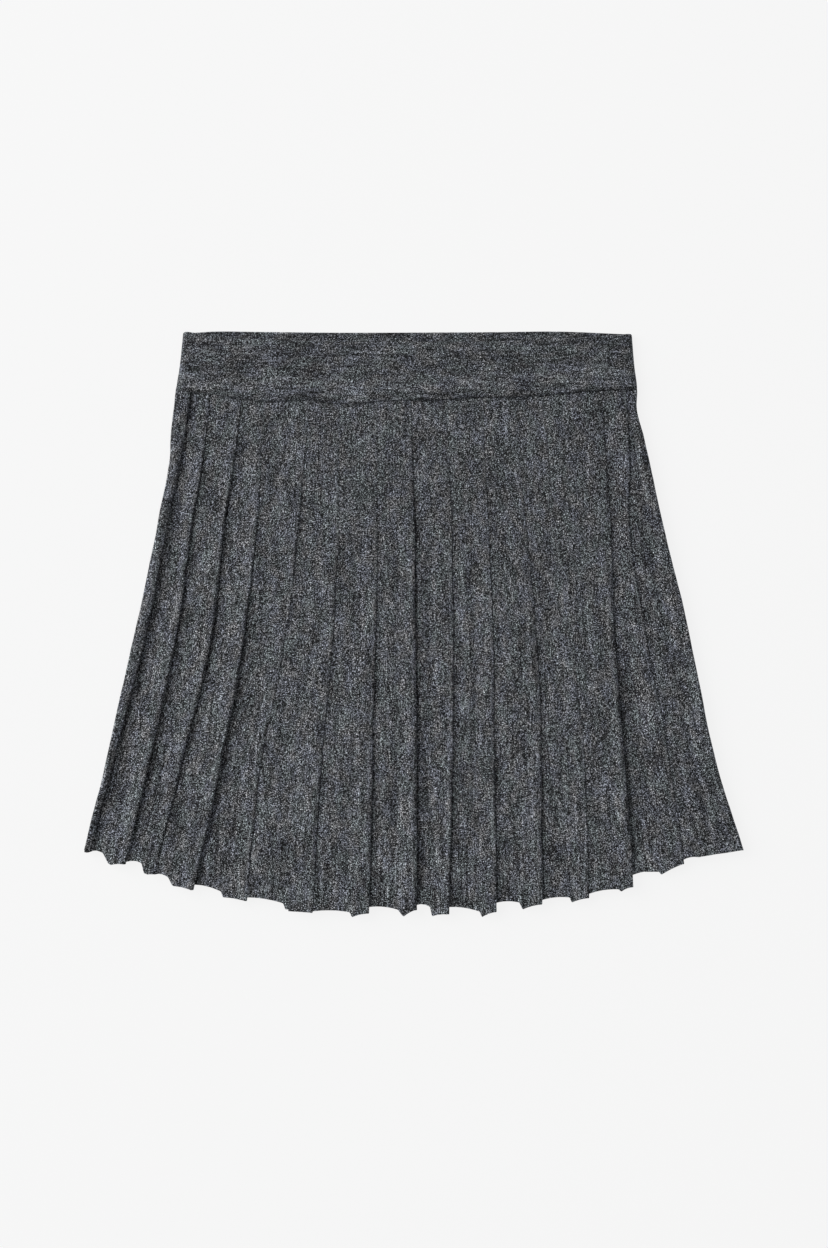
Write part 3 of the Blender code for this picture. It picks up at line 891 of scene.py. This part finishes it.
def make_panel(name, side, folds, stands, sizes, weave):
    """A pleated panel as a closed wall, and the width, length and area it was cut to."""
    lift = sizes.lift / MM if side == FRONT else 0.0
    cloth = PressedCloth(sizes.thickness / MM, sizes.air / MM, lift)
    bow = sizes.scallop / MM
    (x, y, z, run, worn), share = panel_points(side, folds, stands, cloth, weave, bow)
    x = x + side * lumpy(SWAY, side * x, y)
    if side == FRONT:
        z = z + front_relief(x, y, share)
    else:
        lying_high = (z - cloth.low(share)) / (2 * cloth.ply(share))
        z = z + BACK_LOFT * (BACK_MEAN + lumpy(BACK_LUMPS, x, y)) * np.clip(1 - lying_high, 0.0, 1.0)
    widths = np.hypot(np.diff(x, axis=1), np.diff(z, axis=1)).sum(axis=1)
    lengths = -np.diff(y.mean(axis=1))
    area = float((lengths * (widths[1:] + widths[:-1]) / 2).sum())
    length = float((y[0] - y[-1]).max())
    half = cloth.thick(share) / 2
    half = half - rounded((1 - share) * length, half) * HEM_ROUNDNESS
    faces = []
    for face_x, face_z in wall_sides(x, z, half):
        if side == BACK:
            face_x, face_z = -face_x, BACK_TOP_Z - face_z
        else:
            face_z = FRONT_REST_Z + face_z
        faces.append(np.stack((face_x, y, face_z), axis=-1))
    maps = {
        CLOTH_RUN: np.stack((run, y), axis=-1) * MM,
        CLOTH_WEAR_AND_HIGHLIGHT: np.stack((worn, share + 0 * y), axis=-1),
    }
    piece = make_wall(name, faces[0], faces[1], maps, False)
    return piece, (float(widths.max()), length, area)


def band_face(up, inset, wall_height, bottom, across, angle):
    """One face of the waistband's flattened ring, as rows of points. across and angle, in radians, are
    the columns' shares of the width and their places round the ring: the front is at 90 degrees."""
    front = (1 + np.sin(angle)) / 2
    seam_x = mixed(SEAM_EDGE.left, SEAM_EDGE.right, across)
    seam_y = smooth(WAIST_SEAM, seam_x)
    rim_y = mixed(smooth(BAND_RIM_BACK, seam_x), smooth(BAND_RIM_FRONT, seam_x), front)
    y = mixed(seam_y, rim_y, up)
    left, right = (smooth(edge_line(FRONT, hand), y) for hand in ("left", "right"))
    radius = wall_height / 2
    x = mixed(left, right, across) + (inset + radius) * (1 - 2 * across) + radius * np.cos(angle)
    z = bottom + radius * (1 + np.sin(angle))
    puckers = lumpy(BAND_PUCKERS, x, y) * (1 - ease(*BAND_PUCKER_SPAN, up))
    z = z + front * (BAND_LOFT + lumpy(BAND_RIPPLES, x, y) + puckers) * ease(*BAND_HOLD, up)
    return np.stack((x, y, z), axis=-1)


def make_band(name, sizes):
    """The waistband as a closed wall round a flattened ring, and the size it was cut to."""
    steps = np.arange(1, BAND_SIDE_STEPS) / BAND_SIDE_STEPS
    way = np.linspace(0.0, 1.0, BAND_COLUMNS + 1)
    ones, arc = np.ones_like(steps), np.ones_like(way)
    across = np.concatenate((way, ones, way[::-1], 0 * ones))
    turned = np.concatenate((0 * arc, steps, arc, 1 + steps))
    angle = math.pi / 2 - math.pi * turned
    length = BAND_RIM_FRONT[3][1] - WAIST_Y
    ends = np.array(BAND_END_ROWS) / length
    up = np.concatenate((ends, np.linspace(ends[-1], 1 - ends[-1], BAND_ROWS)[1:-1], 1 - ends[::-1]))
    up = up[::-1, None]
    wall = sizes.band_thickness / MM
    drawn = rounded(up * length, wall / 2) + rounded((1 - up) * length, wall / 2)
    drawn = np.minimum(drawn, wall / 2 - BAND_EDGE_LEFT)
    height = smooth(BAND_FRONT_HEIGHT, up)
    outer = band_face(up, drawn, height - 2 * drawn, drawn, across, angle)
    kept = wall - 2 * drawn
    inside = drawn + kept
    inner = band_face(up, inside, height - 2 * inside, inside, across, angle)
    middle = outer[len(up) // 2]
    around = np.vstack((middle, middle[:1]))
    run = np.concatenate(([0.0], np.cumsum(np.linalg.norm(np.diff(around, axis=0), axis=1))))
    height_y = np.concatenate((outer[..., 1], outer[:, :1, 1]), axis=1)
    # A painted highlight: the bulge above the seam is painted paler
    rise, fall = BAND_BULGE_HIGHLIGHT_SPAN
    worn = BAND_BULGE_HIGHLIGHT * ease(*rise, up) * (1 - ease(*fall, up))
    maps = {
        CLOTH_RUN: np.stack((run + 0 * height_y, height_y), axis=-1) * MM,
        CLOTH_WEAR_AND_HIGHLIGHT: np.stack((worn + 0 * height_y, 1 + 0 * height_y), axis=-1),
    }
    piece = make_wall(name, outer, inner, maps, True)
    return piece, (float(run[-1]), float(length))


class Value:
    """A socket of a material's node tree, for shader maths written as plain expressions."""

    def __init__(self, tree, socket):
        self.tree, self.socket = tree, socket

    def math(self, operation, *inputs):
        return self.tree.node("ShaderNodeMath", {"operation": operation}, inputs)

    def __add__(self, other):
        return self.math("ADD", self, other)

    __radd__ = __add__

    def __sub__(self, other):
        return self.math("SUBTRACT", self, other)

    def __rsub__(self, other):
        return self.math("SUBTRACT", other, self)

    def __mul__(self, other):
        return self.math("MULTIPLY", self, other)

    __rmul__ = __mul__

    def __truediv__(self, other):
        return self.math("DIVIDE", self, other)

    def __rtruediv__(self, other):
        return self.math("DIVIDE", other, self)

    def __pow__(self, other):
        return self.math("POWER", self, other)

    def __rpow__(self, other):
        return self.math("POWER", other, self)

    def beside(self, output):
        """Another output of the same node."""
        return Value(self.tree, self.socket.node.outputs[output])

    def wave(self, period):
        """1 at every whole period, -1 halfway between."""
        return self.math("COSINE", self * (2 * math.pi / period))

    def at_least(self, floor):
        return self.math("MAXIMUM", self, floor)

    def clamped(self):
        return self.math("MINIMUM", self.at_least(0.0), 1.0)


class Finish:
    """The node tree of one material."""

    def __init__(self, name):
        self.material = bpy.data.materials.new(name)
        self.material.use_nodes = True
        self.nodes, self.links = self.material.node_tree.nodes, self.material.node_tree.links
        self.shader = self.nodes["Principled BSDF"]

    def node(self, kind, settings=None, inputs=(), output=0):
        """Adds a node: its settings first, then the values or links of its sockets by place or name."""
        node = self.nodes.new(kind)
        for name, value in (settings or {}).items():
            setattr(node, name, value)
        sockets = inputs.items() if isinstance(inputs, dict) else enumerate(inputs)
        for key, value in sockets:
            if isinstance(value, Value):
                self.links.new(value.socket, node.inputs[key])
            else:
                node.inputs[key].default_value = value
        return Value(self, node.outputs[output])

    def lumps(self, across, along, fibre):
        """One layer of fibre as smooth noise, from about -0.5 to 0.5."""
        places = (across / fibre.across, along / fibre.along, fibre.seed)
        inputs = {
            "Vector": self.node("ShaderNodeCombineXYZ", {}, places),
            "Scale": 1.0,
            "Detail": fibre.detail,
            "Roughness": FIBRE_ROUGHNESS,
        }
        return self.node("ShaderNodeTexNoise", {"noise_dimensions": "3D"}, inputs) - 0.5

    def specks(self, across, along):
        """Small spots: a tone of its own for each, mostly dark and now and then pale, and how far every
        point is from its spot's middle."""
        size_across, size_along = SPECK_SIZE
        places = self.node("ShaderNodeCombineXYZ", {}, (across / size_across, along / size_along))
        inputs = {"Vector": places, "Scale": 1.0}
        distance = self.node("ShaderNodeTexVoronoi", {"voronoi_dimensions": "2D"}, inputs)
        tones = self.node("ShaderNodeSeparateColor", {}, (distance.beside("Color"),))
        return tones**PALE_FEW * (1 + PALE_FEW) - 1.0, distance

    def set(self, **values):
        """Links or sets the shader's sockets, named with _ for a space."""
        for name, value in values.items():
            socket = self.shader.inputs[name.replace("_", " ")]
            if isinstance(value, Value):
                self.links.new(value.socket, socket)
            else:
                socket.default_value = value


def make_knit(name, colours, turned, brightness):
    """Heather knit: salt-and-pepper stitches, streaks of dark and pale fibre along the yarn's columns,
    and faint ribs. turned is true where the knit runs round the body instead of down it."""
    knit = Finish(name)
    run = knit.node("ShaderNodeUVMap", {"uv_map": CLOTH_RUN})
    wear_and_highlight = knit.node("ShaderNodeUVMap", {"uv_map": CLOTH_WEAR_AND_HIGHLIGHT})
    place = knit.node("ShaderNodeSeparateXYZ", {}, (run,))
    across, along = place / MM, place.beside("Y") / MM
    if turned:
        across, along = along, across
    worn = knit.node("ShaderNodeSeparateXYZ", {}, (wear_and_highlight,))
    down = worn.beside("Y")

    specks, hollows = knit.specks(across, along)
    layers = (GRAINS, DASHES, STREAKS, BANDS, CLOUDS, BLUE_PATCHES, MOSS_PATCHES)
    made = [knit.lumps(across, along, fibre) for fibre in layers]
    grains, dashes, streaks, bands, clouds, blue, moss = made
    ribs = across.wave(WALE) * (1 - COURSE_SHARE + along.wave(COURSE) * COURSE_SHARE)

    fine = specks * TONE.specks + grains * TONE.grains + dashes * TONE.dashes
    strength = STREAKS_AT_WAIST + (1 - STREAKS_AT_WAIST) * down
    long = (streaks * TONE.streaks + bands * TONE.bands) * strength
    # worn pales the knit on rubbed pressed edges and paints highlights on the faces' crests and on the
    # waistband's bulge
    soft = clouds * TONE.clouds + ribs * TONE.ribs + worn * TONE.worn
    # Painted shade: the knit is painted darker towards the waist seam
    shade = (1.0 - down) ** WAIST_SHADE_CURVE * WAIST_SHADE
    tone = (1.0 + fine + long + soft - shade).at_least(LEAST_TONE) ** TONE_CURVE * brightness

    blue = (blue * PATCH_CONTRAST + BLUE_MEAN).clamped()
    moss = (moss * PATCH_CONTRAST + MOSS_MEAN).clamped()
    settings = {"data_type": "RGBA"}
    plain = knit.node("ShaderNodeMix", settings, {0: blue, 6: colours.warm, 7: colours.cool}, 2)
    tint = knit.node("ShaderNodeMix", settings, {0: moss, 6: plain, 7: colours.moss}, 2)
    scaled = {0: tint, "Scale": tone}
    colour = knit.node("ShaderNodeVectorMath", {"operation": "SCALE"}, scaled)

    height = hollows * RELIEF.hollows + dashes * RELIEF.dashes + streaks * RELIEF.streaks
    height = height + ribs * RELIEF.ribs
    bump = {"Strength": BUMP_STRENGTH, "Distance": BUMP_DEPTH * MM, "Height": height}
    knit.set(
        Base_Color=colour,
        Roughness=(MEAN_ROUGHNESS + dashes * DASH_ROUGHNESS).clamped(),
        Specular_IOR_Level=0.25,
        Sheen_Weight=0.12,
        Sheen_Roughness=0.5,
        Sheen_Tint=SHEEN_TINT,
        Normal=knit.node("ShaderNodeBump", {}, bump),
    )
    return knit.material


def settings_of(context):
    """The skirt's sizes, colours and studio."""
    return context.scene.skirt_sizes, context.scene.skirt_colours, context.scene.skirt_studio


def declare(piece, node, flat):
    """Attaches the piece to the root body and hides the CAD part it stands for."""
    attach(piece, "root")
    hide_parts(node)
    width, length = (value * MM for value in flat)


class SkirtSizes(bpy.types.PropertyGroup):
    """The cloth."""

    thickness: FloatProperty(
        name="Cloth thickness",
        description="Thickness of the panels' knit",
        default=0.0011,
        precision=4,
        unit="LENGTH",
    )
    air: FloatProperty(
        name="Air between layers",
        description="Gap between two layers of a pleat",
        default=0.0003,
        precision=4,
        unit="LENGTH",
    )
    lift: FloatProperty(
        name="Lift of the edges",
        description="How far a pressed edge that stands out comes up",
        default=0.0022,
        precision=4,
        unit="LENGTH",
    )
    scallop: FloatProperty(
        name="Hem scallop",
        description="How far the hem bows up between two pleats",
        default=0.001,
        precision=4,
        unit="LENGTH",
    )
    band_thickness: FloatProperty(
        name="Band thickness",
        description="Thickness of the waistband's doubled knit",
        default=BAND_WALL * MM,
        precision=4,
        unit="LENGTH",
    )


class SkirtColours(bpy.types.PropertyGroup):
    """The yarn and the table."""

    cool: FloatVectorProperty(
        name="Cool grey",
        description="The bluer fibres of the heather yarn",
        default=(0.0662, 0.0705, 0.0826, 1.0),
        size=4,
        subtype="COLOR",
    )
    warm: FloatVectorProperty(
        name="Neutral grey",
        description="The plainer fibres of the heather yarn",
        default=(0.0738, 0.0742, 0.0770, 1.0),
        size=4,
        subtype="COLOR",
    )
    moss: FloatVectorProperty(
        name="Moss grey",
        description="The greener fibres of the heather yarn",
        default=(0.0670, 0.0752, 0.0785, 1.0),
        size=4,
        subtype="COLOR",
    )
    panel_tone: FloatProperty(
        name="Panels' brightness",
        description="How bright the yarn of the pleated panels is, as a share of its greys",
        default=0.532,
        min=0.0,
        subtype="FACTOR",
    )
    band_tone: FloatProperty(
        name="Waistband's brightness",
        description="How bright the yarn of the waistband is, as a share of its greys",
        default=0.428,
        min=0.0,
        subtype="FACTOR",
    )
    table: FloatVectorProperty(
        name="Table",
        description="Colour of the table",
        default=(0.08, 0.08, 0.08, 1.0),
        size=4,
        subtype="COLOR",
    )


class SkirtStudio(bpy.types.PropertyGroup):
    """The light round the skirt."""

    key_power: FloatProperty(
        name="Key light",
        description="Power of the main light",
        default=195.0,
        unit="POWER",
    )
    sky_strength: FloatProperty(
        name="Sky light",
        description="Strength of the light all round",
        default=0.32,
    )
    table_glow: FloatProperty(
        name="Table glow",
        description="Light that the table gives",
        default=0.853,
    )


class SKIRT_OT_back_panel(bpy.types.Operator):
    """Build the pleated back, which lies on the table"""

    bl_idname = "skirt.back_panel"
    bl_label = "Back Panel"

    def execute(self, context):
        sizes, colours, _ = settings_of(context)
        stands = [BACK_STAND] * BACK_PLEATS
        piece, cut = make_panel("knit_back", BACK, back_folds(), stands, sizes, BACK_WEAVE)
        piece.data.materials.append(make_knit("back_heather_knit", colours, False, colours.panel_tone))
        declare(piece, "back_panel", cut[:2])
        return {"FINISHED"}


class SKIRT_OT_front_panel(bpy.types.Operator):
    """Build the pleated front, which lies on the back"""

    bl_idname = "skirt.front_panel"
    bl_label = "Front Panel"

    def execute(self, context):
        sizes, colours, _ = settings_of(context)
        piece, cut = make_panel("knit_front", FRONT, FRONT_FOLDS, FRONT_STANDS, sizes, FRONT_WEAVE)
        piece.data.materials.append(make_knit("front_heather_knit", colours, False, colours.panel_tone))
        declare(piece, "front_panel", cut[:2])
        return {"FINISHED"}


class SKIRT_OT_waistband(bpy.types.Operator):
    """Build the waistband, a flattened ring of doubled knit"""

    bl_idname = "skirt.waistband"
    bl_label = "Waistband"

    def execute(self, context):
        sizes, colours, _ = settings_of(context)
        piece, cut = make_band("knit_waistband", sizes)
        piece.data.materials.append(make_knit("band_heather_knit", colours, True, colours.band_tone))
        declare(piece, "waistband", cut)
        return {"FINISHED"}


def make_table(colours, studio):
    """The pale table top, as wide as any view needs, with a far rim that hides where it ends."""
    mesh = bpy.data.meshes.new("table")
    around = [(math.cos(angle), math.sin(angle)) for angle in shares(TABLE_CORNERS) * 2 * math.pi]
    points = [(x * TABLE_REACH, y * TABLE_REACH, z) for z in (0.0, TABLE_RISE) for x, y in around]
    corners = range(TABLE_CORNERS)
    after = [(i + 1) % TABLE_CORNERS for i in corners]
    rim = [(i, TABLE_CORNERS + i, TABLE_CORNERS + after[i], after[i]) for i in corners]
    mesh.from_pydata(points, [], [tuple(corners), *rim])
    table = bpy.data.objects.new("table", mesh)
    table.location.z = -TABLE_GAP * MM
    paint = Finish("table_paint")
    paint.set(
        Base_Color=tuple(colours.table),
        Roughness=1.0,
        Specular_IOR_Level=0.0,
        Emission_Color=WHITE,
        Emission_Strength=studio.table_glow,
    )
    mesh.materials.append(paint.material)
    bpy.context.scene.collection.objects.link(table)
    table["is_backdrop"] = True


def make_light(name, place, size, power):
    """A soft square light that faces the skirt."""
    light = bpy.data.lights.new(name, "AREA")
    light.shape, light.size, light.energy = "SQUARE", size, power
    lamp = bpy.data.objects.new(name, light)
    lamp.location = place
    lamp.rotation_euler = (-Vector(place)).to_track_quat("-Z", "Y").to_euler()
    bpy.context.scene.collection.objects.link(lamp)


class SKIRT_OT_studio(bpy.types.Operator):
    """Set up the table, the light and the camera straight above"""

    bl_idname = "skirt.studio"
    bl_label = "Studio"

    def execute(self, context):
        _, colours, studio = settings_of(context)
        make_table(colours, studio)
        make_light("key_light", KEY_PLACE, KEY_SIZE, studio.key_power)
        world = bpy.data.worlds.new("soft_sky")
        world.use_nodes = True
        sky = world.node_tree.nodes["Background"]
        sky.inputs["Color"].default_value = SKY_COLOUR
        sky.inputs["Strength"].default_value = studio.sky_strength
        context.scene.world = world
        context.scene.view_settings.view_transform = "Standard"
        camera = bpy.data.cameras.new("camera")
        camera.lens, camera.sensor_width = CAMERA_LENS, CAMERA_SENSOR
        stand = bpy.data.objects.new("camera", camera)
        height = VIEW_HEIGHT * CAMERA_LENS / CAMERA_SENSOR + CLOTH_TOP_Z
        stand.location = (0.0, 0.0, height * MM)
        context.scene.collection.objects.link(stand)
        context.scene.camera = stand
        return {"FINISHED"}


OPERATORS = (SKIRT_OT_back_panel, SKIRT_OT_front_panel, SKIRT_OT_waistband, SKIRT_OT_studio)


class SKIRT_PT_pieces(bpy.types.Panel):
    """The skirt's pieces and the studio"""

    bl_label = "Pleated Knit Skirt"
    bl_space_type = "VIEW_3D"
    bl_region_type = "UI"
    bl_category = "Skirt"

    def draw(self, context):
        for group in settings_of(context):
            box = self.layout.box()
            for name in group.__annotations__:
                box.prop(group, name)
        for operator in OPERATORS:
            self.layout.operator(operator.bl_idname)


GROUPS = {"skirt_sizes": SkirtSizes, "skirt_colours": SkirtColours, "skirt_studio": SkirtStudio}


def register():
    for name, group in GROUPS.items():
        bpy.utils.register_class(group)
        setattr(bpy.types.Scene, name, PointerProperty(type=group))
    for made in (*OPERATORS, SKIRT_PT_pieces):
        bpy.utils.register_class(made)


def unregister():
    for made in reversed((*OPERATORS, SKIRT_PT_pieces)):
        bpy.utils.unregister_class(made)
    for name, group in GROUPS.items():
        delattr(bpy.types.Scene, name)
        bpy.utils.unregister_class(group)


def main():
    register()
    bpy.ops.skirt.back_panel()
    bpy.ops.skirt.front_panel()
    bpy.ops.skirt.waistband()
    bpy.ops.skirt.studio()
    boxes = {"cad": CAD_BOX, "visual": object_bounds()}
    {name: [list(corner) for corner in box] for name, box in boxes.items()}


if __name__ == "__main__":
    main()
